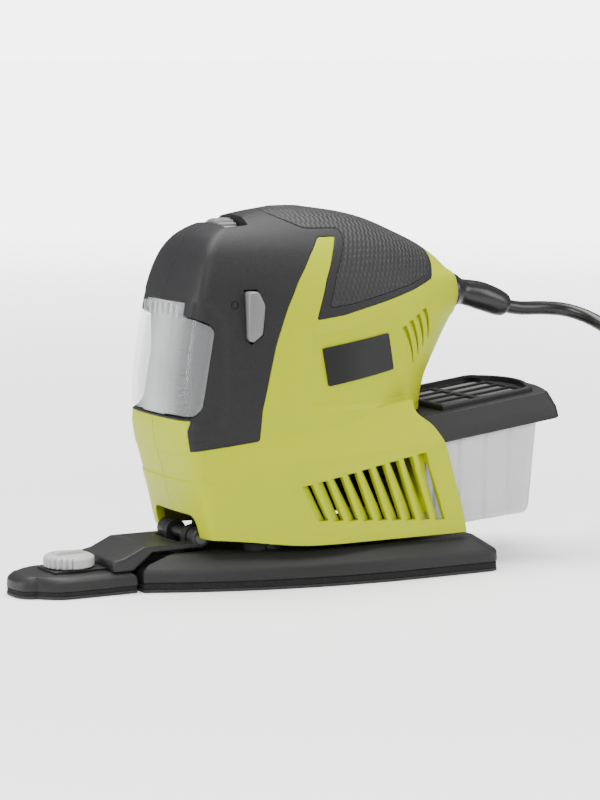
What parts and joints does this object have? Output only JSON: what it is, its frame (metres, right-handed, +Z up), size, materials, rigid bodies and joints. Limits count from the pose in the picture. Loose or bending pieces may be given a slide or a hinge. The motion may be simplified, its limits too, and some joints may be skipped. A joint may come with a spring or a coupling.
{
  "type": "detail sander",
  "caption": "Palm-held orbital detail sander with a pointed pad, a folding finger attachment, a clear front compartment cover and a slide-off dust box.",
  "frame": {"origin": "centre of the tool's footprint box on the work surface, without the mains cord", "axes": "+X from the pad's pointed front towards the dust box at the rear, +Z up, +Y towards the tool's right-hand side as its user holds it looking towards the point"},
  "size_m": [0.3759, 0.1279, 0.156],
  "materials": {
    "lime_shell": "satin moulded plastic",
    "dark_nose": "fine textured moulded plastic",
    "soft_grip": "soft patterned overmould",
    "badge": "satin",
    "button_grey": "satin",
    "knob_pale": "satin",
    "clear_plastic": "clear moulded plastic",
    "smoke_plastic": "frosted translucent plastic",
    "black_plastic": "fine textured moulded plastic",
    "foam": "closed-cell foam",
    "hook_fabric": "hook-and-loop backed abrasive",
    "cord_rubber": "satin flexible jacket",
    "steel": "machined steel",
    "copper": "enamelled copper",
    "brass": "bright",
    "carbon": "pressed carbon",
    "filter_paper": "pleated paper",
    "circuit_board": "lacquered board",
    "wire": "insulated wire"
  },
  "bodies": {
    "housing": {"left_shell": "lime_shell", "right_shell": "lime_shell", "nose_left": "dark_nose", "nose_right": "dark_nose", "grip_pad": "soft_grip", "badge_left": "badge", "badge_right": "badge", "housing_screws": "steel", "storage_tub": "black_plastic", "stator_core": "steel", "field_coils": "copper", "motor_frame": "black_plastic", "upper_carrier": "black_plastic", "upper_bearing": "steel", "lower_bearing": "steel", "brush_holders": "brass", "carbon_brushes": "carbon", "brush_springs": "steel", "switch_module": "black_plastic", "speed_module": "circuit_board", "dial_spindle": "steel", "lead_wires": "wire", "cord_boot": "cord_rubber", "cord_clamp": "black_plastic", "clamp_screws": "steel", "dust_duct": "black_plastic", "fan_shroud": "black_plastic", "power_cord": "cord_rubber", "cord_coil": "cord_rubber", "cord_tie": "cord_rubber", "plug_body": "cord_rubber", "plug_pins": "steel"},
    "rotor": {"armature_shaft": "steel", "armature_core": "steel", "commutator": "copper", "fan": "black_plastic", "counterweight": "steel"},
    "platen": {"platen_plate": "black_plastic", "foam_pad": "foam", "hook_face": "hook_fabric", "platen_bearing": "steel", "flex_legs": "foam", "leg_screws": "steel", "pivot_bracket": "black_plastic", "pivot_pin": "steel"},
    "finger": {"finger_arm": "black_plastic", "finger_plate": "black_plastic", "finger_foam": "foam", "finger_hook_face": "hook_fabric", "knob_stud": "steel"},
    "finger_knob_body": {"finger_knob": "knob_pale"},
    "power_switch": {"power_bar": "button_grey"},
    "dial": {"speed_dial": "button_grey"},
    "front_cover": {"clear_cover": "clear_plastic"},
    "dust_box": {"dust_container": "smoke_plastic", "box_seal": "foam"},
    "box_lid": {"dust_lid": "black_plastic", "filter_frame": "knob_pale", "filter_element": "filter_paper"}
  },
  "joints": [
    {"name": "motor_spin", "type": "hinge", "parent": "housing", "child": "rotor", "pos_m": [0, 0, 0.08], "axis": [0, 0, 1], "continuous": true},
    {"name": "pad_orbit", "type": "hinge", "parent": "rotor", "child": "platen", "pos_m": [0.001, 0, 0.015], "axis": [0, 0, 1], "continuous": true},
    {"name": "finger_fold", "type": "hinge", "parent": "platen", "child": "finger", "pos_m": [-0.048, 0, 0.02], "axis": [0, 1, 0], "range_deg": [0, 68]},
    {"name": "knob_turn", "type": "hinge", "parent": "finger", "child": "finger_knob_body", "pos_m": [-0.1005, 0, 0.012], "axis": [0, 0, 1], "range_deg": [0, 90]},
    {"name": "switch_push", "type": "slide", "parent": "housing", "child": "power_switch", "axis": [0, 1, 0], "range_m": [0, 0.005]},
    {"name": "dial_turn", "type": "hinge", "parent": "housing", "child": "dial", "pos_m": [-0.03, 0, 0.1376], "axis": [1, 0, 0], "range_deg": [-135, 135]},
    {"name": "cover_open", "type": "hinge", "parent": "housing", "child": "front_cover", "pos_m": [-0.061, 0, 0.0724], "axis": [0, 1, 0], "range_deg": [-60, 0]},
    {"name": "dust_box_slide", "type": "slide", "parent": "housing", "child": "dust_box", "axis": [1, 0, 0], "range_m": [0, 0.07]},
    {"name": "box_lid_slide", "type": "slide", "parent": "dust_box", "child": "box_lid", "axis": [0.9925, 0, 0.1219], "range_m": [0, 0.06]}
  ],
  "couplings": [
    {"joint": "pad_orbit", "follows": "motor_spin", "ratio": -1}
  ]
}
